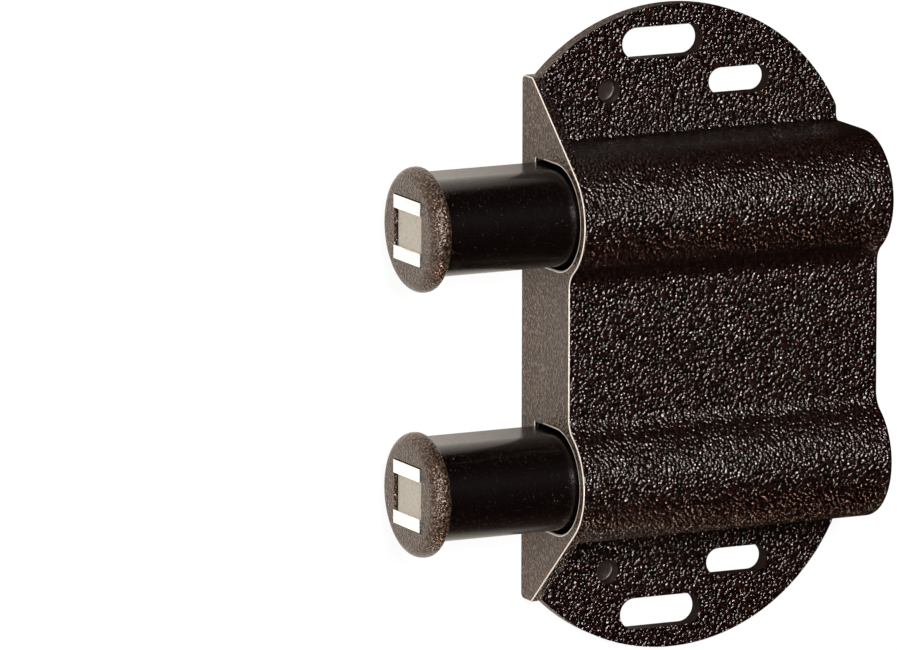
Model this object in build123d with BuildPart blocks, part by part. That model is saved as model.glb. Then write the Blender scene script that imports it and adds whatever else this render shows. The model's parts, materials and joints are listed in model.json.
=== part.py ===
from build123d import *
import os
from math import asin, atan2, cos, degrees, hypot, radians, sin

# Double magnetic push catch for a pair of cabinet doors.
# One moulded housing holds two spring plungers. Each plunger carries a magnet between two pole
# plates in its nose, and a bent wire pin that follows a heart-shaped track holds it pushed in.
# Z is up from the face that is screwed to the cabinet, Y runs from the noses to the rear,
# and the origin is on the mounting face, on the centre line of the two round ears.

# Housing, all sizes in millimetres
plunger_spacing = 32.0
axis_height = 9.3
housing_depth = 41.5
front_setback = 19.3
flange_thickness = 1.9
hump_wall = 1.25
end_wall = 1.3
valley_height = 12.75
valley_wall = 1.4
valley_fillet = 2.5
flank_root_fillet = 0.6
rear_edge_fillet = 0.5
front_edge_fillet = 0.25

# Round ears that carry the screw slots, with places counted outwards from the nearer plunger axis
ear_radius = 24.35
ear_centre_inside_axis = 1.1
big_slot_length = 10.7
big_slot_width = 3.8
big_slot_outside_axis = 18.8
big_slot_behind_front = 17.8
small_slot_length = 8.1
small_slot_width = 3.3
small_slot_outside_axis = 13.4
small_slot_behind_front = 28.1
dimple_radius = 1.45
dimple_floor = 0.3
dimple_floor_fillet = 0.3
dimple_outside_axis = 13.3
dimple_behind_front = 10.7

# Front wall with its sloping gussets
gusset_reach = 15.9
front_wall_end_height = 2.8
front_corner_radius = 0.8
opening_edge_fillet = 0.15

# Plungers
barrel_radius = 5.8
barrel_clearance = 0.55
barrel_reach = 17.1
room_behind_plunger = 5.7
sill_clearance = 0.15
travel = 13.5
nose_radius = 7.5
nose_front_round = 1.5
nose_rim_band = 0.1
nose_back_round = 0.9
collar_clearance = 0.15
collar_length = 3.0
foot_length = 2.0
foot_width = 2.2
foot_side_gap = 0.3
foot_clearance = 0.25

# Magnet and pole plates
pole_thickness = 1.6
pole_height = 7.1
pole_depth = 7.0
pole_proud = 0.15
magnet_width = 4.5
magnet_height = 6.3
magnet_recess = 0.3
pocket_clearance = 0.12

# Return springs
spring_wire = 0.6
spring_mean_radius = 3.0
spring_turns = 11
spring_bore_clearance = 0.3
spring_bore_depth = 16.0
spring_seat_gap = 0.05
spring_boss_clearance = 0.4
spring_boss_length = 4.0

# Latch pins and their heart-shaped track
pin_radius = 0.5
pin_room = 0.6
pin_bend = 0.8
pin_swing = 2.2
pin_hole_clearance = 0.06
track_clearance = 0.22
track_roof = 0.65
track_top_gap = 0.2
track_rear_margin = 2.7
latched_travel = 11.5
pivot_before_rear_wall = 3.4
pivot_boss_radius = 1.7
pivot_boss_height = 0.5
pin_lift = 0.1

# Back cover and the stakes that hold it
cover_thickness = 1.2
cover_inset = 0.2
cover_ledge = 0.6
cover_clearance = 0.1
cover_corner = 1.0
stake_radius = 1.2
stake_head_radius = 2.0
stake_head_height = 0.6
stake_clearance = 0.1
stake_x = 5.4
stake_inset = 7.5
rib_thickness = 1.2
stop_length = 2.0

# How near two places may be and still count as the same when edges are picked
same_place = 0.01

# Places that follow from the sizes above
plunger_x = plunger_spacing / 2
ear_centre = plunger_x - ear_centre_inside_axis
front_wall_end = plunger_x + gusset_reach
front_y = -front_setback
rear_y = front_y + housing_depth
front_inner_y = front_y + end_wall
rear_inner_y = rear_y - end_wall
cavity_length = rear_inner_y - front_inner_y
cavity_middle_y = (front_inner_y + rear_inner_y) / 2
opening_radius = barrel_radius + barrel_clearance
hump_radius = opening_radius + hump_wall
overall_width = 2 * (ear_centre + ear_radius)
cover_top = cover_inset + cover_thickness
pocket_half_width = plunger_x - opening_radius - hump_wall
pocket_roof = valley_height - valley_wall
arm_height = cover_top + pivot_boss_height + pin_lift + pin_radius
sill_height = arm_height + pin_radius + pin_room
barrel_bottom = sill_height + sill_clearance
barrel_rear_y = rear_inner_y - room_behind_plunger - travel
spring_bore_radius = spring_mean_radius + spring_wire / 2 + spring_bore_clearance
track_depth = axis_height - spring_bore_radius - track_roof - barrel_bottom
nose_back_y = front_y - barrel_reach
nose_thickness = nose_front_round + nose_rim_band + nose_back_round
nose_face_y = nose_back_y - nose_thickness
tip_y = barrel_rear_y - track_rear_margin
pivot_y = rear_inner_y - pivot_before_rear_wall
pin_length = pivot_y - tip_y
latch_angle = degrees(asin(pin_swing / pin_length))
stake_places = [
    (side * stake_x, y)
    for side in (-1, 1)
    for y in (front_inner_y + stake_inset, rear_inner_y - stake_inset)
]

os.makedirs("parts", exist_ok=True)


def arches(places, radius, floor_height):
    """Add round-topped arches about plunger axes, with straight sides down to one flat floor."""
    with Locations(*[(x, axis_height) for x in places]):
        Circle(radius)
        Rectangle(2 * radius, axis_height, align=(Align.CENTER, Align.MAX))
    keep_height = axis_height + radius - floor_height
    with Locations((0, floor_height)):
        Rectangle(overall_width, keep_height, align=(Align.CENTER, Align.MIN), mode=Mode.INTERSECT)


def hump_section():
    """Add the outer section of the housing: two round humps and the lower valley between them."""
    for x in (-plunger_x, plunger_x):
        with Locations((x, axis_height)):
            Circle(hump_radius)
        with Locations((x, 0)):
            Rectangle(2 * hump_radius, axis_height, align=(Align.CENTER, Align.MIN))
    with Locations((0, 0)):
        Rectangle(plunger_spacing, valley_height, align=(Align.CENTER, Align.MIN))


def gusset_outline(side):
    """Add the sloping end of the front wall, tangent to the hump on that side."""
    rise = axis_height - front_wall_end_height
    slant = hypot(gusset_reach, rise)
    tangent_turn = degrees(atan2(rise, -gusset_reach)) - degrees(asin(hump_radius / slant))
    touch = radians(tangent_turn - 90)
    touch_x = plunger_x + hump_radius * cos(touch)
    touch_z = axis_height + hump_radius * sin(touch)
    corners = [(plunger_x, 0), (front_wall_end, 0), (front_wall_end, front_wall_end_height)]
    corners += [(touch_x, touch_z), (plunger_x, axis_height)]
    Polygon(*[(side * x, z) for x, z in corners], align=None)


def round_valley(sketch):
    """Round the inner corners where the humps run down into the valley."""
    corners = [v for v in sketch.vertices() if abs(v.Y - valley_height) < same_place]
    fillet(corners, valley_fillet)


# Housing
with BuildPart() as housing:
    # Flange: two round ears joined by a strip, cut off square at the front and the rear
    with BuildSketch(Plane.XY) as flange_outline:
        with Locations((-ear_centre, 0), (ear_centre, 0)):
            Circle(ear_radius)
        with Locations((0, (front_y + rear_y) / 2)):
            Rectangle(2 * ear_centre, housing_depth)
            Rectangle(overall_width, housing_depth, mode=Mode.INTERSECT)
    extrude(amount=flange_thickness)

    # Humps along the whole depth
    with BuildSketch(Plane.XZ.offset(-rear_y)) as body_section:
        hump_section()
        round_valley(body_section)
    extrude(amount=housing_depth)

    # Small root fillet where each flank stands on its ear, then the rounded rear rim
    flank_x = plunger_x + hump_radius
    roots = housing.edges().filter_by(Axis.Y)
    roots = [e for e in roots if abs(abs(e.center().X) - flank_x) < same_place]
    roots = [e for e in roots if abs(e.center().Z - flange_thickness) < same_place]
    fillet(roots, flank_root_fillet)
    rear_rims = housing.faces().sort_by(Axis.Y)[-1].edges()
    fillet([e for e in rear_rims if e.center().Z > axis_height / 2], rear_edge_fillet)

    # Front wall with its gussets and small round corners
    with BuildSketch(Plane.XZ.offset(-front_inner_y)) as wall_section:
        hump_section()
        gusset_outline(1)
        gusset_outline(-1)
        round_valley(wall_section)
        wall_ends = [v for v in wall_section.vertices() if abs(v.X) > front_wall_end - same_place]
        fillet(wall_ends, front_corner_radius)
    extrude(amount=end_wall)
    front_rims = housing.faces().sort_by(Axis.Y)[0].edges()
    fillet([e for e in front_rims if e.center().Z > same_place], front_edge_fillet)

    # Chambers of the two plungers, open towards the mounting face
    with BuildSketch(Plane.XZ.offset(-rear_inner_y)) as chamber_section:
        arches((-plunger_x, plunger_x), opening_radius, 0)
    extrude(amount=cavity_length, mode=Mode.SUBTRACT)

    # Arched openings in the front wall, each with a sill under its barrel
    with BuildSketch(Plane.XZ.offset(-front_inner_y)) as opening_section:
        arches((-plunger_x, plunger_x), opening_radius, sill_height)
    extrude(amount=end_wall, mode=Mode.SUBTRACT)
    opening_rims = housing.faces().sort_by(Axis.Y)[0].inner_wires()
    fillet([e for rim in opening_rims for e in rim.edges()], opening_edge_fillet)

    # Pocket between the chambers, with a cross rib half way
    with BuildSketch(Plane.XY) as pocket_outline:
        with Locations((0, cavity_middle_y)):
            Rectangle(2 * pocket_half_width, cavity_length)
            Rectangle(2 * pocket_half_width, rib_thickness, mode=Mode.SUBTRACT)
    extrude(amount=pocket_roof, mode=Mode.SUBTRACT)

    # Recess for the back cover
    with BuildSketch(Plane.XY) as recess_outline:
        with Locations((0, cavity_middle_y)):
            recess_width = 2 * (plunger_x + opening_radius + cover_ledge)
            recess_length = cavity_length + 2 * cover_ledge
            RectangleRounded(recess_width, recess_length, cover_corner)
    extrude(amount=cover_top, mode=Mode.SUBTRACT)

    # Stakes that pass through the cover, with their flattened heads
    with BuildSketch(Plane.XY.offset(cover_inset)) as stake_outline:
        with Locations(*stake_places):
            Circle(stake_radius)
    extrude(amount=pocket_roof - cover_inset)
    with BuildSketch(Plane.XY.offset(cover_inset)) as head_outline:
        with Locations(*stake_places):
            Circle(stake_head_radius)
    extrude(amount=stake_head_height)

    # Bosses on the rear wall that centre the return springs
    spring_boss_radius = spring_mean_radius - spring_wire / 2 - spring_boss_clearance
    with BuildSketch(Plane.XZ.offset(-rear_inner_y)) as boss_section:
        with Locations((-plunger_x, axis_height), (plunger_x, axis_height)):
            Circle(spring_boss_radius)
    extrude(amount=spring_boss_length)

    # Two sizes of screw slot and a blind pilot hole with a thin floor in each ear
    with BuildSketch(Plane.XY) as slot_outline:
        for side in (-1, 1):
            big_slot_x = side * (plunger_x + big_slot_outside_axis)
            small_slot_x = side * (plunger_x + small_slot_outside_axis)
            with Locations((big_slot_x, front_y + big_slot_behind_front)):
                SlotOverall(big_slot_length, big_slot_width, rotation=90)
            with Locations((small_slot_x, front_y + small_slot_behind_front)):
                SlotOverall(small_slot_length, small_slot_width, rotation=90)
    extrude(amount=flange_thickness, mode=Mode.SUBTRACT)
    dimple_x = plunger_x + dimple_outside_axis
    dimple_y = front_y + dimple_behind_front
    with BuildSketch(Plane.XY.offset(dimple_floor)) as dimple_outline:
        with Locations((-dimple_x, dimple_y), (dimple_x, dimple_y)):
            Circle(dimple_radius)
    extrude(amount=flange_thickness - dimple_floor, mode=Mode.SUBTRACT)
    floor_rims = housing.edges().filter_by(GeomType.CIRCLE)
    floor_rims = [e for e in floor_rims if abs(e.center().Z - dimple_floor) < same_place]
    fillet([e for e in floor_rims if abs(e.radius - dimple_radius) < same_place], dimple_floor_fillet)
housing.part.label = "housing"
export_step(housing.part, "parts/housing.step")


# Back cover: it closes the chambers and carries the latch pivots and the plunger stops
with BuildPart() as back_cover:
    with BuildSketch(Plane.XY.offset(cover_inset)) as cover_outline:
        with Locations((0, cavity_middle_y)):
            cover_width = recess_width - 2 * cover_clearance
            cover_length = recess_length - 2 * cover_clearance
            RectangleRounded(cover_width, cover_length, cover_corner)
    extrude(amount=cover_thickness)
    foot_outer = barrel_radius - foot_side_gap
    foot_middle = foot_outer - foot_width / 2
    front_stop_y = barrel_rear_y - foot_length - stop_length / 2
    rear_stop_y = barrel_rear_y + travel + stop_length / 2
    with BuildSketch(Plane.XY.offset(cover_top)) as stop_outline:
        for side in (-1, 1):
            for foot_side in (-1, 1):
                stop_x = side * plunger_x + foot_side * foot_middle
                with Locations((stop_x, front_stop_y - foot_clearance / 2)):
                    Rectangle(foot_width, stop_length)
                with Locations((stop_x, rear_stop_y + foot_clearance / 2)):
                    Rectangle(foot_width, stop_length)
    extrude(amount=barrel_bottom - foot_clearance - cover_top)
    with BuildSketch(Plane.XY.offset(cover_top)) as pivot_outline:
        with Locations((-plunger_x, pivot_y), (plunger_x, pivot_y)):
            Circle(pivot_boss_radius)
    extrude(amount=pivot_boss_height)
    with BuildSketch(Plane.XY.offset(cover_inset)) as pivot_holes:
        with Locations((-plunger_x, pivot_y), (plunger_x, pivot_y)):
            Circle(pin_radius + pin_hole_clearance)
    extrude(amount=cover_thickness + pivot_boss_height, mode=Mode.SUBTRACT)
    with BuildSketch(Plane.XY.offset(cover_inset)) as stake_holes:
        with Locations(*stake_places):
            Circle(stake_radius + stake_clearance)
    extrude(amount=cover_thickness, mode=Mode.SUBTRACT)
    with BuildSketch(Plane.XY.offset(cover_inset)) as head_seats:
        with Locations(*stake_places):
            Circle(stake_head_radius + stake_clearance)
    extrude(amount=stake_head_height + stake_clearance, mode=Mode.SUBTRACT)
back_cover.part.label = "back_cover"
export_step(back_cover.part, "parts/back_cover.step")


def track_leg(start, end):
    """Add one straight leg of the track, with round ends, between two places of the pin's tip."""
    run = end[0] - start[0]
    rise = end[1] - start[1]
    with Locations(((start[0] + end[0]) / 2, (start[1] + end[1]) / 2)):
        leg_width = 2 * (pin_radius + track_clearance)
        SlotCenterToCenter(hypot(run, rise), leg_width, rotation=degrees(atan2(rise, run)))


for side_name, side in (("left", -1), ("right", 1)):
    x = side * plunger_x

    # Plunger: an arched barrel with a round nose, a magnet pocket, a spring bore and a track
    with BuildPart() as plunger:
        with BuildSketch(Plane.XZ.offset(-barrel_rear_y)) as barrel_section:
            arches((x,), barrel_radius, barrel_bottom)
        extrude(amount=barrel_rear_y - nose_back_y)
        with BuildSketch(Plane.XZ.offset(-barrel_rear_y)) as collar_section:
            arches((x,), opening_radius - collar_clearance, barrel_bottom)
        extrude(amount=collar_length)
        nose_plane = Plane((x, nose_back_y, axis_height), x_dir=(1, 0, 0), z_dir=(0, 0, -1))
        with BuildSketch(nose_plane) as nose_profile:
            Rectangle(nose_radius, nose_thickness, align=(Align.MIN, Align.MIN))
            rim = nose_profile.vertices().group_by(Axis.X)[-1].sort_by(Axis.Y)
            fillet(rim[0], nose_back_round)
            rim = nose_profile.vertices().group_by(Axis.Y)[-1].sort_by(Axis.X)
            fillet(rim[-1], nose_front_round)
        revolve(axis=Axis((x, 0, axis_height), (0, 1, 0)))

        with BuildSketch(Plane.XZ.offset(-nose_face_y)) as pocket_section:
            with Locations((x, axis_height)):
                pocket_width = magnet_width + 2 * pole_thickness + 2 * pocket_clearance
                Rectangle(pocket_width, pole_height + 2 * pocket_clearance)
        extrude(amount=-(pole_depth - pole_proud), mode=Mode.SUBTRACT)

        with BuildSketch(Plane.XZ.offset(-barrel_rear_y)) as bore_section:
            with Locations((x, axis_height)):
                Circle(spring_bore_radius)
        extrude(amount=spring_bore_depth, mode=Mode.SUBTRACT)

        # Two feet that run between the stops of the cover
        with BuildSketch(Plane.XY.offset(cover_top + foot_clearance)) as foot_outline:
            for foot_side in (-1, 1):
                with Locations((x + foot_side * foot_middle, barrel_rear_y - foot_length / 2)):
                    Rectangle(foot_width, foot_length)
        extrude(amount=barrel_bottom - cover_top - foot_clearance)

        # Heart-shaped track: in along one leg, back over the notch, out along the other leg
        end_drop = pin_length * (1 - cos(radians(latch_angle)))
        track_start = (x, tip_y)
        track_in = (x + side * pin_swing, tip_y - travel + end_drop)
        track_notch = (x, tip_y - latched_travel)
        track_out = (x - side * pin_swing, tip_y - travel + end_drop)
        with BuildSketch(Plane.XY.offset(barrel_bottom)) as track_outline:
            track_leg(track_start, track_in)
            track_leg(track_in, track_notch)
            track_leg(track_notch, track_out)
            track_leg(track_out, track_start)
        extrude(amount=track_depth, mode=Mode.SUBTRACT)
    plunger.part.label = side_name + "_plunger"
    export_step(plunger.part, "parts/" + side_name + "_plunger.step")

    # Magnet block, a little behind the faces of its pole plates
    pole_face_y = nose_face_y - pole_proud
    pocket_end_y = pole_face_y + pole_depth
    with BuildPart() as magnet:
        with BuildSketch(Plane.XZ.offset(-pocket_end_y)) as magnet_section:
            with Locations((x, axis_height)):
                Rectangle(magnet_width, magnet_height)
        extrude(amount=pole_depth - pole_proud - magnet_recess)
    magnet.part.label = side_name + "_magnet"
    export_step(magnet.part, "parts/" + side_name + "_magnet.step")

    # Steel pole plates on both sides of the magnet, outer and inner
    for plate_name, plate_side in (("outer", side), ("inner", -side)):
        plate_x = x + plate_side * (magnet_width + pole_thickness) / 2
        with BuildPart() as pole_plate:
            with BuildSketch(Plane.XZ.offset(-pocket_end_y)) as plate_section:
                with Locations((plate_x, axis_height)):
                    Rectangle(pole_thickness, pole_height)
            extrude(amount=pole_depth)
        pole_plate.part.label = side_name + "_" + plate_name + "_pole_plate"
        export_step(pole_plate.part, "parts/" + pole_plate.part.label + ".step")

    # Return spring between the bottom of the bore and the rear wall
    bore_end_y = barrel_rear_y - spring_bore_depth
    spring_start_y = bore_end_y + spring_wire / 2 + spring_seat_gap
    spring_end_y = rear_inner_y - spring_wire / 2 - spring_seat_gap
    spring_length = spring_end_y - spring_start_y
    spring_start = (x, spring_start_y, axis_height)
    spring_pitch = spring_length / spring_turns
    with BuildPart() as return_spring:
        with BuildLine() as coil:
            Helix(spring_pitch, spring_length, spring_mean_radius, spring_start, (0, 1, 0))
        with BuildSketch(Plane(coil.line @ 0, z_dir=coil.line % 0)) as wire_section:
            Circle(spring_wire / 2)
        sweep(path=coil.line)
    return_spring.part.label = side_name + "_return_spring"
    export_step(return_spring.part, "parts/" + side_name + "_return_spring.step")

    # Latch pin: a bent wire that turns in the cover and follows the track with its tip
    tip_top = barrel_bottom + track_depth - track_top_gap
    with BuildPart() as latch_pin:
        with BuildLine() as pin_path:
            FilletPolyline(
                (x, pivot_y, cover_inset),
                (x, pivot_y, arm_height),
                (x, tip_y, arm_height),
                (x, tip_y, tip_top),
                radius=pin_bend,
            )
        with BuildSketch(Plane((x, pivot_y, cover_inset), z_dir=(0, 0, 1))) as pin_section:
            Circle(pin_radius)
        sweep(path=pin_path.line)
    latch_pin.part.label = side_name + "_latch_pin"
    export_step(latch_pin.part, "parts/" + side_name + "_latch_pin.step")
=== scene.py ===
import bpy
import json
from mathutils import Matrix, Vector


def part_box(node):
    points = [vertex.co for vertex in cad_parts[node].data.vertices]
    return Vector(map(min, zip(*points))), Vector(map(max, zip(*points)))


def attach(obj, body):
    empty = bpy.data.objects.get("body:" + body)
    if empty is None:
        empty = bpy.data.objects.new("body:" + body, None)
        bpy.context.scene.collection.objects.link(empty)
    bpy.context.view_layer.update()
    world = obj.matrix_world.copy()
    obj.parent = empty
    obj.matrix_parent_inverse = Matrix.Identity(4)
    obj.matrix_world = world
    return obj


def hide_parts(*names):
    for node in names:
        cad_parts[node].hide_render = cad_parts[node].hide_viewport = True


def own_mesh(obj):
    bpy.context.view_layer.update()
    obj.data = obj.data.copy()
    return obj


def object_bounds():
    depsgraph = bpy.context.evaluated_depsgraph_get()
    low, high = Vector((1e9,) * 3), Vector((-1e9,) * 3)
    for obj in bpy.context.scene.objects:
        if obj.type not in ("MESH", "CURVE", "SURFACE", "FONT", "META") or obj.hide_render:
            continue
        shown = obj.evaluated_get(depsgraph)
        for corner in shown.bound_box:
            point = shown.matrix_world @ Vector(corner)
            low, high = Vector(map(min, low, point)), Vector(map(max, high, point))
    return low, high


bl_info = {
    "name": "Double magnetic catch",
    "version": (1, 0, 0),
    "blender": (4, 5, 0),
    "location": "3D View > Sidebar > Catch",
    "description": "Finishes the pieces of a double magnetic push catch and sets it in a small studio",
    "category": "Object",
}

import json
from math import cos, pi, radians, sin

import bpy
from bpy.props import FloatProperty, FloatVectorProperty, PointerProperty
from bpy.types import Operator, Panel, PropertyGroup
from mathutils import Matrix, Vector

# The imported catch: its nodes stay where they are, and everything else is placed from them
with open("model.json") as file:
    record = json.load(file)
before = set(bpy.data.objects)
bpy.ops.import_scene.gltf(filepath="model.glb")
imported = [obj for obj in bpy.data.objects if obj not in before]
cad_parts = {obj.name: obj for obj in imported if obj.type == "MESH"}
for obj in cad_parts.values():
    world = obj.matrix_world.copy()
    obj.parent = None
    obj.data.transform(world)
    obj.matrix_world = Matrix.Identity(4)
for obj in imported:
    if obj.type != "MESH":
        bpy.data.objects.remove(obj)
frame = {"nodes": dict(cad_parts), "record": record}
nodes = frame["nodes"]
cad_box = [list(corner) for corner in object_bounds()]

MM = 0.001
SIDES = ("left", "right")

# Cells of the noise texture from one of its peaks to the next
CELLS_PER_PEAK = 1.0

# Detail and roughness of the noise behind both textures, behind the specks and behind the grinding marks
SPARK_NOISE = (0.5, 0.6)
SPECK_NOISE = (1.0, 0.6)
MARK_NOISE = (2.0, 0.5)

# Noise levels at the bottoms of the pits and the tops of the peaks, and from where a speck stands out
PIT_LEVEL = 0.35
PEAK_LEVEL = 0.72
SPECK_LEVEL = 0.66

# Roughness in the pits and on the peaks of both textures, of polished faces and of satin holes
SPARK_GLOSS = (0.20, 0.14)
FINE_GLOSS = (0.24, 0.15)
POLISHED_ROUGHNESS = 0.22
HOLE_ROUGHNESS = 0.40

# Grinding marks: how far they are drawn out along Z, from where they are bright, and how dull they get
MARK_STRETCH = 0.08
MARK_LEVEL = 0.45
DULL_SHARE = 0.82

# How far the roughness of a ground face swings about its middle value, as a share of it
MARK_GLOSS_SWING = 0.2

# Metallic share and roughness of sintered ferrite, and roughness of ground steel and drawn wire
FERRITE_METALLIC = 0.6
FERRITE_ROUGHNESS = 0.4
STEEL_ROUGHNESS = 0.25
WIRE_ROUGHNESS = 0.3

# Refraction of the two plastics
NYLON_IOR = 1.53
ACETAL_IOR = 1.50

# Satin holes in the ears, in mm: distance from X = 0, Y, half the straight length, radius
SATIN_HOLES = (
    (34.8, -1.5, 3.45, 1.9),
    (29.4, 8.8, 2.4, 1.65),
    (29.3, -8.6, 0.0, 1.45),
)

# Axis of the arched openings in the front wall, and where their ring of painted highlight starts, in mm
OPENING_X = 16.0
OPENING_Z = 9.3
OPENING_RADIUS = 6.46

# The ring of painted highlight is drawn above this height, in mm
ARCH_START = 6.0

# The masks of holes and faces reach this far past them, in mm
MASK_MARGIN = 0.02

# Factors that drop one coordinate, and a floor that leaves only X free to be negative
WITHOUT_Z = (1, 1, 0)
WITHOUT_Y = (1, 0, 1)
ONLY_X_FREE = (-1, 0, 0)

# Gap between the catch and the floor, in mm
FLOOR_GAP = 0.02

# The floor: sides of its circle, share of its radius that the middle face takes, steps of its rim
FLOOR_SIDES = 96
MIDDLE_SHARE = 0.25
RIM_STEPS = 8

# Where the lamps hang, seen from the catch
KEY_DIRECTION = (-0.37, -0.20, 0.91)
FILL_DIRECTION = (0.15, -0.75, 0.65)
BOUNCE_DIRECTION = (0.99, 0.10, 0.055)

# The point that the camera looks at, in mm
CAMERA_TARGET = (-2.219, -28.964, 0.0)

# Width of the camera's sensor in mm, and how far it sees in m
SENSOR_WIDTH = 36
VIEW_LIMIT = 20


def linear(hex_colour):
    """Turn an sRGB hex colour into the linear RGBA that the shaders work in."""
    channels = [int(hex_colour[place:place + 2], 16) / 255 for place in (1, 3, 5)]
    decoded = [c / 12.92 if c <= 0.04045 else ((c + 0.055) / 1.055) ** 2.4 for c in channels]
    return (*decoded, 1.0)


def colour(name, hex_colour, description):
    """A colour that the user can change."""
    return FloatVectorProperty(
        name=name, description=description, subtype="COLOR", size=4, min=0, max=1, default=linear(hex_colour)
    )


def length(name, millimetres, description):
    """A real size that the user can change, kept in metres."""
    return FloatProperty(
        name=name, description=description, unit="LENGTH", subtype="DISTANCE", min=0, precision=6,
        default=millimetres * MM,
    )


def share(name, value, description):
    """A share of one that the user can change."""
    return FloatProperty(name=name, description=description, subtype="FACTOR", min=0, max=1, default=value)


def power(name, watts, description):
    """A lamp's power that the user can change."""
    return FloatProperty(name=name, description=description, unit="POWER", min=0, default=watts)


def angle(name, degrees, description):
    """An angle that the user can change, kept in radians."""
    return FloatProperty(name=name, description=description, subtype="ANGLE", default=radians(degrees))


class CatchFinish(PropertyGroup):
    moulding_colour: colour("Moulding", "#0d0403", "Body colour of the dark brown mouldings")
    # The pits are painted near black and the peaks lighter than the body: painted shade in the pits of the
    # grain
    pit_colour: colour("Pits", "#010000", "Colour in the pits of the spark texture, where it is dark")
    peak_colour: colour("Peaks", "#1f0d09", "Colour on the peaks of the spark texture")
    # A pale painted highlight on the smooth rims of the front wall and its openings, where a thin light line
    # shows
    rim_colour: colour("Highlighted rims", "#b8ada2", "Colour of the worn rims of the front wall and its openings")
    # The holes are a brown a little lighter than the moulding: painted sheen inside the slots and pilot
    # holes, which are satin
    hole_colour: colour("Holes", "#1c110c", "Colour of the satin walls of the slots and pilot holes")
    # The fine texture is painted lighter than the moulding: painted light on the front wall, the flange's
    # side walls and the noses. Its pits are painted darker, as painted shade
    fine_colour: colour("Fine texture", "#32241b", "Body colour of the fine-textured front wall and noses")
    fine_pit_colour: colour("Fine pits", "#130c0a", "Colour in the pits of the fine texture")
    fine_peak_colour: colour("Fine peaks", "#57473b", "Colour on the peaks of the fine texture")
    cover_colour: colour("Back cover", "#1a1210", "Body colour of the plain back cover")
    barrel_colour: colour("Barrels", "#040101", "Body colour of the smooth plunger barrels")
    sheen_tint: colour("Sheen tint", "#fff6f0", "Tint of the reflections on the mouldings")
    fine_sheen_tint: colour("Fine sheen tint", "#ffeadb", "Tint of the reflections on the fine texture")
    # The magnets are painted light grey as painted sheen: the ferrite itself is darker grey
    ferrite_colour: colour("Ferrite", "#a29c91", "Colour of the ground faces of the magnets")
    plate_colour: colour("Pole steel", "#ffffff", "Colour of the ground pole plates")
    wire_colour: colour("Spring wire", "#b9b7b2", "Colour of the drawn spring wire")
    spark_spacing: length("Spark texture", 0.34, "Distance between the peaks of the spark texture")
    spark_depth: length("Spark depth", 0.32, "Depth of the pits of the spark texture")
    fine_spacing: length("Fine texture", 0.29, "Distance between the peaks on the front wall and the noses")
    fine_depth: length("Fine texture depth", 0.19, "Depth of the pits of the fine texture")
    nose_length: length("Nose length", 2.5, "Length of the textured nose in front of the smooth barrel")
    flange: length("Flange", 1.9, "Thickness of the flange, whose side walls have the fine texture")
    # Width of the pale painted highlight on those rims
    worn_rim: length("Highlighted rim", 0.12, "Width of the pale worn rims of the front wall and its openings")
    speck_spacing: length("Specks", 0.28, "Distance between the small raised specks on smooth faces")
    speck_height: length("Speck height", 0.05, "Height of the specks on smooth faces")
    grinding_spacing: length("Grinding marks", 0.3, "Distance between the marks on plates and magnets")
    grinding_depth: length("Grinding depth", 0.004, "Depth of the grinding marks")


class CatchStudio(PropertyGroup):
    floor_colour: colour("Floor", "#f4f4f2", "Colour of the pale floor and its raised rim")
    # Only gloss sees these: a painted reflection that glows warm white before the noses and fades to painted
    # shade behind them
    floor_reflected: colour("Front floor in gloss", "#fff0e1", "Warm white of the floor before the noses")
    floor_shaded: colour("Rear floor in gloss", "#2c1f19", "Dark brown of the floor behind the noses")
    fade_length: length("Fade length", 45, "How far behind the noses the floor has faded in gloss")
    floor_glow: share("Floor glow", 0.92, "Share of plain white in the floor that the camera sees")
    mirror_glow: share("Mirror glow", 0.75, "Share of warm white in the front floor that gloss shows")
    room_strength: share("Room light", 0.008, "Strength of the room's light, where 1 is white")
    floor_radius: length("Floor radius", 3000, "Radius of the flat floor")
    rim_height: length("Rim height", 800, "Height of the floor's raised rim")
    lamp_distance: length("Lamp distance", 1500, "Distance of the lamps from the catch")
    key_size: length("Key size", 560, "Side of the softbox above the catch")
    key_power: power("Key power", 36, "Power of the softbox")
    fill_size: length("Fill size", 450, "Side of the lamp in front of the noses")
    fill_power: power("Fill power", 17, "Power of the front lamp")
    bounce_size: length("Bounce size", 140, "Side of the weak warm lamp, low beside the right ear")
    bounce_power: power("Bounce power", 8, "Power of the warm lamp")
    bounce_colour: colour("Bounce colour", "#ffdcc0", "Colour of the warm lamp")
    camera_distance: length("Camera distance", 1721.7, "Distance of the camera from the point it looks at")
    camera_azimuth: angle("Camera azimuth", -23.494, "Turn of the camera about Z, from in front of the noses")
    camera_elevation: angle("Camera elevation", 61.909, "Height of the camera over the floor")
    camera_roll: angle("Camera roll", 111.074, "Turn of the camera about its line of sight")
    camera_lens: FloatProperty(
        name="Lens", description="Focal length for a 36 mm sensor", unit="CAMERA", default=579.52
    )


def add(tree, kind, settings=None, **inputs):
    """Add one node with its properties and inputs, named by identifier. A socket as value is linked."""
    node = tree.nodes.new(kind)
    for name, value in (settings or {}).items():
        setattr(node, name, value)
    sockets = {socket.identifier.replace(" ", "_"): socket for socket in node.inputs}
    for name, value in inputs.items():
        if isinstance(value, bpy.types.NodeSocket):
            tree.links.new(value, sockets[name])
        else:
            sockets[name].default_value = value
    return node


def new_material(name):
    """An empty node material."""
    material = bpy.data.materials.new(name)
    material.use_nodes = True
    material.node_tree.nodes.clear()
    return material, material.node_tree


def finish(material, *names):
    """Give CAD nodes a material in their own slots."""
    missing = [name for name in names if name not in nodes]
    if missing:
        raise RuntimeError("The frame has no node called " + ", ".join(missing))
    for name in names:
        if not nodes[name].material_slots:
            nodes[name].data.materials.append(material)
        for slot in nodes[name].material_slots:
            slot.material = material


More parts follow.
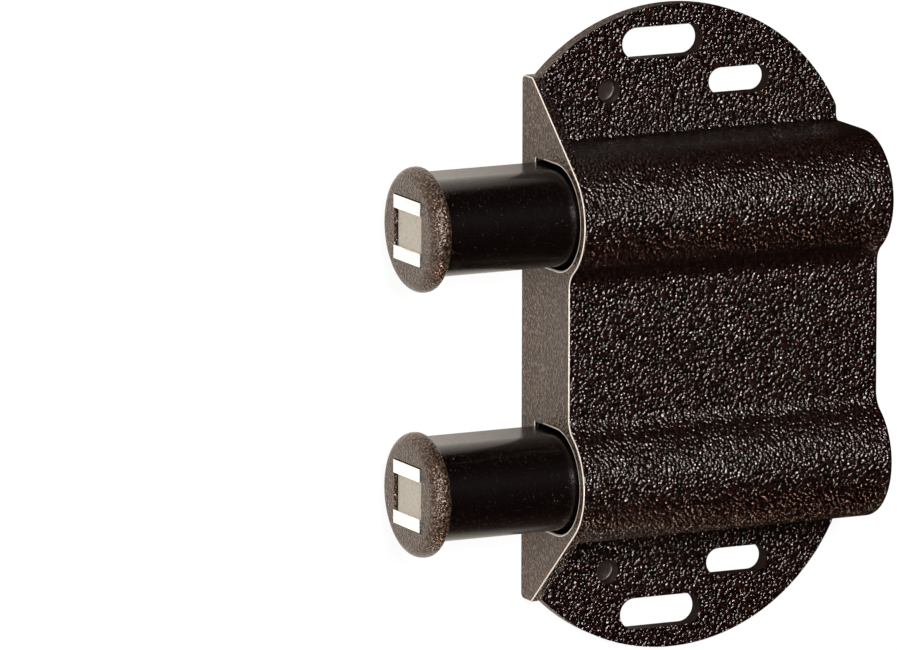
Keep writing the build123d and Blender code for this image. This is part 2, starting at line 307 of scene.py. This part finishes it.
def spark_shader(tree, place, size, colours, glosses, tint, ior):
    """The peaks and pits that a spark-eroded tool leaves, in one shader.

    Real ones are about a tenth of a millimetre apart, too fine to show from here, so they are
    drawn as coarse as they need to be.
    """
    peaks = add(
        tree, "ShaderNodeTexNoise", {"noise_dimensions": "3D"}, Vector=place,
        Scale=CELLS_PER_PEAK / size[0], Detail=SPARK_NOISE[0], Roughness=SPARK_NOISE[1],
    ).outputs["Fac"]
    # The ramp paints the pits dark and the peaks lighter: painted shade between the peaks
    shade = add(tree, "ShaderNodeValToRGB", Fac=peaks)
    ramp = shade.color_ramp.elements
    ramp[0].position = PIT_LEVEL
    ramp[1].position = PEAK_LEVEL
    ramp.new((PIT_LEVEL + PEAK_LEVEL) / 2)
    for stop, stop_colour in zip(ramp, colours):
        stop.color = stop_colour
    gloss = add(
        tree, "ShaderNodeMapRange", Value=peaks, From_Min=PIT_LEVEL, From_Max=PEAK_LEVEL,
        To_Min=glosses[0], To_Max=glosses[1],
    ).outputs["Result"]
    relief = add(tree, "ShaderNodeBump", Height=peaks, Distance=size[1], Strength=1.0).outputs["Normal"]
    return add(
        tree, "ShaderNodeBsdfPrincipled", Base_Color=shade.outputs["Color"], Roughness=gloss,
        Normal=relief, IOR=ior, Specular_Tint=tint,
    ).outputs["BSDF"]


def fine_shader(tree, place, settings, ior):
    """The finer texture of the front wall and the noses, more even than the rest, painted lighter as painted
    light.
    """
    size = (settings.fine_spacing, settings.fine_depth)
    colours = (settings.fine_pit_colour, settings.fine_colour, settings.fine_peak_colour)
    return spark_shader(tree, place, size, colours, FINE_GLOSS, settings.fine_sheen_tint, ior)


def polished_shader(tree, place, settings, base_colour, roughness, ior):
    """A face moulded against polished steel: smooth, with a few raised specks that catch the light.

    Real specks are finer than a pixel, so they are drawn as coarse as they need to be.
    """
    grain = add(
        tree, "ShaderNodeTexNoise", {"noise_dimensions": "3D"}, Vector=place,
        Scale=CELLS_PER_PEAK / settings.speck_spacing, Detail=SPECK_NOISE[0], Roughness=SPECK_NOISE[1],
    ).outputs["Fac"]
    specks = add(
        tree, "ShaderNodeMapRange", {"interpolation_type": "SMOOTHSTEP"}, Value=grain,
        From_Min=SPECK_LEVEL, From_Max=PEAK_LEVEL,
    ).outputs["Result"]
    relief = add(
        tree, "ShaderNodeBump", Height=specks, Distance=settings.speck_height, Strength=1.0
    ).outputs["Normal"]
    return add(
        tree, "ShaderNodeBsdfPrincipled", Base_Color=base_colour, Roughness=roughness,
        Normal=relief, IOR=ior, Specular_Tint=settings.sheen_tint,
    ).outputs["BSDF"]


def mixed(tree, mask, first, second):
    """The second shader where the mask is 1, the first elsewhere."""
    return add(tree, "ShaderNodeMixShader", Fac=mask, Shader=first, Shader_001=second).outputs["Shader"]


def folded_distance(tree, flat, end):
    """Distance from the middle line of a shape that ends at one point, and at its mirror images.

    Beside the line only X counts, since Y and Z are held at zero or more. Beyond its end it is
    the distance to that point.
    """
    folded = add(tree, "ShaderNodeVectorMath", {"operation": "ABSOLUTE"}, Vector=flat).outputs["Vector"]
    from_end = add(
        tree, "ShaderNodeVectorMath", {"operation": "SUBTRACT"}, Vector=folded, Vector_001=end
    ).outputs["Vector"]
    clamped = add(
        tree, "ShaderNodeVectorMath", {"operation": "MAXIMUM"}, Vector=from_end, Vector_001=ONLY_X_FREE
    ).outputs["Vector"]
    return add(tree, "ShaderNodeVectorMath", {"operation": "LENGTH"}, Vector=clamped).outputs["Value"]


def hole_mask(tree, flat, centre_x, centre_y, half_straight, radius):
    """1 inside a round-ended hole in either ear, 0 elsewhere. The ears mirror each other in X = 0."""
    centred = add(
        tree, "ShaderNodeVectorMath", {"operation": "SUBTRACT"}, Vector=flat, Vector_001=(0, centre_y, 0)
    ).outputs["Vector"]
    distance = folded_distance(tree, centred, (centre_x, half_straight, 0))
    return add(
        tree, "ShaderNodeMath", {"operation": "LESS_THAN"}, Value=distance, Value_001=radius
    ).outputs["Value"]


def band_mask(tree, value, start, end):
    """1 where a value lies between two limits, 0 elsewhere."""
    return add(
        tree, "ShaderNodeMath", {"operation": "COMPARE"}, Value=value,
        Value_001=(start + end) / 2, Value_002=(end - start) / 2,
    ).outputs["Value"]


def highlight_ring_mask(tree, place, height, width):
    """1 on the ring of painted highlight round the arch of either opening, 0 elsewhere."""
    upright = add(
        tree, "ShaderNodeVectorMath", {"operation": "MULTIPLY"}, Vector=place, Vector_001=WITHOUT_Y
    ).outputs["Vector"]
    off_axis = folded_distance(tree, upright, (OPENING_X * MM, 0, OPENING_Z * MM))
    start = OPENING_RADIUS * MM
    ring = band_mask(tree, off_axis, start, start + width)
    on_arch = add(
        tree, "ShaderNodeMath", {"operation": "GREATER_THAN"}, Value=height, Value_001=ARCH_START * MM
    ).outputs["Value"]
    return add(
        tree, "ShaderNodeMath", {"operation": "MULTIPLY"}, Value=ring, Value_001=on_arch
    ).outputs["Value"]


def housing_moulding(settings, front):
    """Nylon moulded in a spark-eroded tool whose slot pins were polished.

    The crater field of the tool comes out as small peaks and pits. Peaks that lean towards the
    light glint. The pits are painted nearly black and the peaks a little lighter, as painted shade
    in the pits. The front wall and the side walls of the flange have a finer, more even grain, and
    their lighter colour is painted light that those faces catch. The rims of the front wall and of
    its openings are smooth, and a pale painted highlight draws a thin light line there. The slots
    and pilot holes are satin and dark, and their brown, a little lighter than the rest, is painted
    sheen.
    """
    material, tree = new_material("nylon_spark_textured")
    place = add(tree, "ShaderNodeTexCoord").outputs["Object"]
    size = (settings.spark_spacing, settings.spark_depth)
    colours = (settings.pit_colour, settings.moulding_colour, settings.peak_colour)
    coarse = spark_shader(tree, place, size, colours, SPARK_GLOSS, settings.sheen_tint, NYLON_IOR)
    # The fine texture's lighter colour is painted light on the faces that get it
    fine = fine_shader(tree, place, settings, NYLON_IOR)
    # The pale rim colour is a painted highlight on smooth edges
    rim = polished_shader(tree, place, settings, settings.rim_colour, POLISHED_ROUGHNESS, NYLON_IOR)
    # The lighter brown in the slots and pilot holes is painted sheen
    hole = polished_shader(tree, place, settings, settings.hole_colour, HOLE_ROUGHNESS, NYLON_IOR)
    flat = add(
        tree, "ShaderNodeVectorMath", {"operation": "MULTIPLY"}, Vector=place, Vector_001=WITHOUT_Z
    ).outputs["Vector"]
    along = add(tree, "ShaderNodeSeparateXYZ", Vector=place).outputs
    margin = MASK_MARGIN * MM
    # The side walls of the flange get the finer texture of the front face, whose lighter colour is painted
    # light
    walls = band_mask(tree, along["Z"], margin, settings.flange - margin)
    surface = mixed(tree, walls, coarse, fine)
    # The flat front face has the fine texture, with its painted light, up to the rings of painted highlight
    # round the openings
    highlighted = highlight_ring_mask(tree, place, along["Z"], settings.worn_rim)
    face = mixed(tree, highlighted, fine, rim)
    surface = mixed(tree, band_mask(tree, along["Y"], front - margin, front + margin), surface, face)
    # A band of painted highlight on the outer rim starts a hair behind the face
    behind = band_mask(tree, along["Y"], front + margin, front + settings.worn_rim)
    surface = mixed(tree, behind, surface, rim)
    for centre_x, centre_y, half_straight, radius in SATIN_HOLES:
        inside = hole_mask(
            tree, flat, centre_x * MM, centre_y * MM, half_straight * MM, (radius + MASK_MARGIN) * MM
        )
        surface = mixed(tree, inside, surface, hole)
    add(tree, "ShaderNodeOutputMaterial", Surface=surface)
    return material


def cover_moulding(settings):
    """Nylon moulded in a polished tool.

    It looks plain, smooth and dark, with a soft sheen and a few specks.
    """
    material, tree = new_material("nylon_satin_cover")
    place = add(tree, "ShaderNodeTexCoord").outputs["Object"]
    surface = polished_shader(tree, place, settings, settings.cover_colour, POLISHED_ROUGHNESS, NYLON_IOR)
    add(tree, "ShaderNodeOutputMaterial", Surface=surface)
    return material


def plunger_moulding(settings, nose_back):
    """Acetal moulded in one tool with two finishes.

    The nose has a finer spark texture than the housing and looks more even, and its lighter colour is
    painted light. The barrel behind it slides in the housing, so its part of the tool was polished and it
    stays black.
    """
    material, tree = new_material("acetal_nose_and_barrel")
    place = add(tree, "ShaderNodeTexCoord").outputs["Object"]
    # The nose's lighter colour is painted light
    nose = fine_shader(tree, place, settings, ACETAL_IOR)
    barrel = polished_shader(tree, place, settings, settings.barrel_colour, POLISHED_ROUGHNESS, ACETAL_IOR)
    depth = add(tree, "ShaderNodeSeparateXYZ", Vector=place).outputs["Y"]
    on_barrel = add(
        tree, "ShaderNodeMath", {"operation": "GREATER_THAN"}, Value=depth, Value_001=nose_back
    ).outputs["Value"]
    add(tree, "ShaderNodeOutputMaterial", Surface=mixed(tree, on_barrel, nose, barrel))
    return material


def ground_face(settings, name, base_colour, metallic, roughness, stretch):
    """A ground or drawn face, whose marks are a little duller than the rest of it.

    Ground steel takes long straight marks along the wheel's path and shines like a dull mirror.
    Ground ferrite shows its sintered grain instead and looks stony; its light grey, half metal, is a
    painted sheen on a darker grey ferrite. Drawn wire is bright with faint marks. Real marks are some
    hundredths of a millimetre apart, too fine to show, so they are drawn as coarse as they need to be.
    """
    material, tree = new_material(name)
    place = add(tree, "ShaderNodeTexCoord").outputs["Object"]
    stretched = add(tree, "ShaderNodeMapping", Vector=place, Scale=(1, 1, stretch)).outputs["Vector"]
    marks = add(
        tree, "ShaderNodeTexNoise", {"noise_dimensions": "3D"}, Vector=stretched,
        Scale=CELLS_PER_PEAK / settings.grinding_spacing, Detail=MARK_NOISE[0], Roughness=MARK_NOISE[1],
    ).outputs["Fac"]
    gloss = add(
        tree, "ShaderNodeMapRange", Value=marks, From_Min=PIT_LEVEL, From_Max=PEAK_LEVEL,
        To_Min=roughness * (1 + MARK_GLOSS_SWING), To_Max=roughness * (1 - MARK_GLOSS_SWING),
    ).outputs["Result"]
    bright = add(
        tree, "ShaderNodeMapRange", Value=marks, From_Min=PIT_LEVEL, From_Max=MARK_LEVEL
    ).outputs["Result"]
    dull_colour = [channel * DULL_SHARE for channel in base_colour[:3]] + [1.0]
    shade = add(
        tree, "ShaderNodeMix", {"data_type": "RGBA"}, Factor_Float=bright,
        A_Color=dull_colour, B_Color=base_colour,
    ).outputs["Result"]
    relief = add(
        tree, "ShaderNodeBump", Height=marks, Distance=settings.grinding_depth, Strength=1.0
    ).outputs["Normal"]
    shader = add(
        tree, "ShaderNodeBsdfPrincipled", Base_Color=shade, Roughness=gloss,
        Metallic=metallic, Normal=relief,
    )
    add(tree, "ShaderNodeOutputMaterial", Surface=shader.outputs["BSDF"])
    return material


def coil_spring(side, material):
    """A copy of a return spring in the given finish, hung on the body in place of the CAD spring."""
    node = side + "_return_spring"
    slide = side + "_plunger_slide"
    joints = frame["record"]["behaviour"]["joints"]
    ranges = [joint["range_m"] for joint in joints if joint["name"] == slide]
    if not ranges or node not in nodes:
        raise RuntimeError("The frame has no spring or no plunger slide for the " + side + " side")
    spring = bpy.data.objects.new(side + "_coil_spring", nodes[node].data.copy())
    bpy.context.scene.collection.objects.link(spring)
    spring.data.materials.clear()
    spring.data.materials.append(material)
    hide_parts(node)
    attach(spring, "body")
    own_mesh(spring)


class CATCH_OT_housing(Operator):
    """Finish the housing as a spark-textured moulding, with painted highlights on its rims and painted sheen
    in its satin holes
    """

    bl_idname = "catch.housing"
    bl_label = "Housing"

    def execute(self, context):
        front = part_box("housing")[0][1]
        finish(housing_moulding(context.scene.catch_finish, front), "housing")
        return {"FINISHED"}


class CATCH_OT_back_cover(Operator):
    """Finish the back cover as a satin moulding"""

    bl_idname = "catch.back_cover"
    bl_label = "Back cover"

    def execute(self, context):
        finish(cover_moulding(context.scene.catch_finish), "back_cover")
        return {"FINISHED"}


class CATCH_OT_plungers(Operator):
    """Finish the two plungers, smooth on the barrels and textured on the noses"""

    bl_idname = "catch.plungers"
    bl_label = "Plungers"

    def execute(self, context):
        settings = context.scene.catch_finish
        names = [side + "_plunger" for side in SIDES]
        nose_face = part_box(names[0])[0][1]
        finish(plunger_moulding(settings, nose_face + settings.nose_length), *names)
        return {"FINISHED"}


class CATCH_OT_magnets(Operator):
    """Finish the two magnets as ground ferrite"""

    bl_idname = "catch.magnets"
    bl_label = "Magnets"

    def execute(self, context):
        settings = context.scene.catch_finish
        # The light grey ferrite colour is painted sheen
        material = ground_face(
            settings, "ferrite_ground", settings.ferrite_colour, FERRITE_METALLIC, FERRITE_ROUGHNESS, 1
        )
        finish(material, *[side + "_magnet" for side in SIDES])
        return {"FINISHED"}


class CATCH_OT_pole_plates(Operator):
    """Finish the four pole plates as ground steel"""

    bl_idname = "catch.pole_plates"
    bl_label = "Pole plates"

    def execute(self, context):
        settings = context.scene.catch_finish
        material = ground_face(
            settings, "steel_ground", settings.plate_colour, 1, STEEL_ROUGHNESS, MARK_STRETCH
        )
        names = [side + "_" + place + "_pole_plate" for side in SIDES for place in ("outer", "inner")]
        finish(material, *names)
        return {"FINISHED"}


class CATCH_OT_wires(Operator):
    """Finish the latch pins as drawn spring wire, and put copies of the return springs in the same finish"""

    bl_idname = "catch.wires"
    bl_label = "Springs and latch pins"

    def execute(self, context):
        settings = context.scene.catch_finish
        material = ground_face(settings, "spring_steel_drawn", settings.wire_colour, 1, WIRE_ROUGHNESS, 1)
        finish(material, *[side + "_latch_pin" for side in SIDES])
        for side in SIDES:
            coil_spring(side, material)
        return {"FINISHED"}


class CATCH_OT_stage(Operator):
    """Build the studio: pale floor with a raised rim, three lamps, room light and camera"""

    bl_idname = "catch.stage"
    bl_label = "Studio"

    def execute(self, context):
        studio = context.scene.catch_studio
        build_floor(studio)
        build_lamps(studio)
        build_room(context.scene, studio)
        build_camera(context.scene, studio)
        context.scene.view_settings.view_transform = "Standard"
        return {"FINISHED"}


def painted_board(studio):
    """Matt painted board.

    The camera sees it nearly white, and a share of its own shading keeps the shadow under the
    catch. Gloss and metal see a painted reflection on it: a warm white glow in front of the noses,
    which fades to a dark brown painted shade behind them, so that the pits of the grain stay dark.
    """
    nose_front = cad_box[0][1]
    material, tree = new_material("board_matt_painted")
    path = add(tree, "ShaderNodeLightPath").outputs
    reflected = add(
        tree, "ShaderNodeMath", {"operation": "MAXIMUM"},
        Value=path["Is Glossy Ray"], Value_001=path["Is Transmission Ray"],
    ).outputs["Value"]
    place = add(tree, "ShaderNodeNewGeometry").outputs["Position"]
    along = add(tree, "ShaderNodeSeparateXYZ", Vector=place).outputs["Y"]
    fade = add(
        tree, "ShaderNodeMapRange", {"interpolation_type": "SMOOTHSTEP"}, Value=along,
        From_Min=nose_front, From_Max=nose_front + studio.fade_length,
    ).outputs["Result"]
    mirror_share = add(
        tree, "ShaderNodeMapRange", Value=fade, To_Min=studio.mirror_glow, To_Max=1.0
    ).outputs["Result"]
    in_gloss = add(
        tree, "ShaderNodeMath", {"operation": "MULTIPLY"}, Value=reflected, Value_001=mirror_share
    ).outputs["Value"]
    glow_share = add(
        tree, "ShaderNodeMath", {"operation": "MULTIPLY_ADD"}, Value=path["Is Camera Ray"],
        Value_001=studio.floor_glow, Value_002=in_gloss,
    ).outputs["Value"]
    # The floor's painted reflection: warm white glow in front, painted dark brown shade behind
    painted_reflection = add(
        tree, "ShaderNodeMix", {"data_type": "RGBA"}, Factor_Float=fade,
        A_Color=studio.floor_reflected, B_Color=studio.floor_shaded,
    ).outputs["Result"]
    tone = add(
        tree, "ShaderNodeMix", {"data_type": "RGBA"}, Factor_Float=reflected,
        A_Color=linear("#ffffff"), B_Color=painted_reflection,
    ).outputs["Result"]
    matt = add(tree, "ShaderNodeBsdfDiffuse", Color=studio.floor_colour).outputs["BSDF"]
    glow = add(tree, "ShaderNodeEmission", Color=tone, Strength=1.0).outputs["Emission"]
    add(tree, "ShaderNodeOutputMaterial", Surface=mixed(tree, glow_share, matt, glow))
    return material


def build_floor(studio):
    """A round floor whose rim curves up."""
    rim = studio.rim_height
    profile = [(studio.floor_radius * MIDDLE_SHARE, 0.0), (studio.floor_radius, 0.0)]
    for step in range(1, RIM_STEPS + 1):
        rise = step / RIM_STEPS * pi / 2
        profile.append((studio.floor_radius + rim * sin(rise), rim * (1 - cos(rise))))
    points = []
    for radius, height in profile:
        for side in range(FLOOR_SIDES):
            turn = side / FLOOR_SIDES * 2 * pi
            points.append((radius * cos(turn), radius * sin(turn), height))
    faces = [tuple(range(FLOOR_SIDES))]
    for ring in range(len(profile) - 1):
        inner = ring * FLOOR_SIDES
        outer = inner + FLOOR_SIDES
        for side in range(FLOOR_SIDES):
            after = (side + 1) % FLOOR_SIDES
            faces.append((inner + after, inner + side, outer + side, outer + after))
    mesh = bpy.data.meshes.new("studio_floor")
    mesh.from_pydata(points, [], faces)
    for face in mesh.polygons:
        face.use_smooth = True
    mesh.materials.append(painted_board(studio))
    floor = bpy.data.objects.new("studio_floor", mesh)
    # A hair lower than the catch, so that its mounting face and the floor don't share a plane
    floor.location.z = -FLOOR_GAP * MM
    bpy.context.scene.collection.objects.link(floor)


def build_lamps(studio):
    """A softbox above the catch, a lamp in front of the noses and a weak warm one low beside an ear."""
    white = linear("#ffffff")
    key = ("key_softbox", studio.key_power, studio.key_size, KEY_DIRECTION, white)
    fill = ("front_lamp", studio.fill_power, studio.fill_size, FILL_DIRECTION, white)
    bounce = (
        "bounce_lamp", studio.bounce_power, studio.bounce_size, BOUNCE_DIRECTION, studio.bounce_colour
    )
    for name, watts, size, direction, tint in (key, fill, bounce):
        data = bpy.data.lights.new(name, "AREA")
        data.shape = "SQUARE"
        data.size = size
        data.energy = watts
        data.color = tint[:3]
        lamp = bpy.data.objects.new(name, data)
        bpy.context.scene.collection.objects.link(lamp)
        towards = Vector(direction).normalized()
        lamp.location = towards * studio.lamp_distance
        lamp.rotation_euler = towards.to_track_quat("Z", "Y").to_euler()


def build_room(scene, studio):
    """A dim even room above the rim of the floor."""
    scene.world = bpy.data.worlds.new("room")
    scene.world.use_nodes = True
    background = scene.world.node_tree.nodes["Background"].inputs
    background["Color"].default_value = linear("#ffffff")
    background["Strength"].default_value = studio.room_strength


def build_camera(scene, studio):
    """The camera, at the angle at which the catch is best seen, with one long lens."""
    data = bpy.data.cameras.new("camera")
    data.sensor_width = SENSOR_WIDTH
    data.lens = studio.camera_lens
    data.clip_end = VIEW_LIMIT
    camera = bpy.data.objects.new("camera", data)
    scene.collection.objects.link(camera)
    turn = Matrix.Rotation(studio.camera_azimuth, 4, "Z")
    tilt = Matrix.Rotation(pi / 2 - studio.camera_elevation, 4, "X")
    roll = Matrix.Rotation(studio.camera_roll, 4, "Z")
    target = Vector(CAMERA_TARGET) * MM
    back = turn @ tilt @ Vector((0, 0, studio.camera_distance))
    camera.matrix_world = Matrix.Translation(target + back) @ turn @ tilt @ roll
    scene.camera = camera


class VIEW3D_PT_catch(Panel):
    """Lists the steps that dress the catch"""

    bl_idname = "VIEW3D_PT_catch"
    bl_label = "Double magnetic catch"
    bl_space_type = "VIEW_3D"
    bl_region_type = "UI"
    bl_category = "Catch"

    def draw(self, context):
        for operator in OPERATORS:
            self.layout.operator(operator.bl_idname)
        for group in (context.scene.catch_finish, context.scene.catch_studio):
            column = self.layout.column()
            for name in group.bl_rna.properties.keys():
                if name not in ("rna_type", "name"):
                    column.prop(group, name)


OPERATORS = (
    CATCH_OT_housing,
    CATCH_OT_back_cover,
    CATCH_OT_plungers,
    CATCH_OT_magnets,
    CATCH_OT_pole_plates,
    CATCH_OT_wires,
    CATCH_OT_stage,
)
CLASSES = (CatchFinish, CatchStudio, *OPERATORS, VIEW3D_PT_catch)


def register():
    """Make the settings, operators and panel known to Blender."""
    for cls in CLASSES:
        bpy.utils.register_class(cls)
    bpy.types.Scene.catch_finish = PointerProperty(type=CatchFinish)
    bpy.types.Scene.catch_studio = PointerProperty(type=CatchStudio)


def unregister():
    """Take away what register added."""
    del bpy.types.Scene.catch_studio
    del bpy.types.Scene.catch_finish
    for cls in reversed(CLASSES):
        bpy.utils.unregister_class(cls)


def main():
    """Dress the catch step by step."""
    register()
    bpy.ops.catch.housing()
    bpy.ops.catch.back_cover()
    bpy.ops.catch.plungers()
    bpy.ops.catch.magnets()
    bpy.ops.catch.pole_plates()
    bpy.ops.catch.wires()
    bpy.ops.catch.stage()


if __name__ == "__main__":
    main()
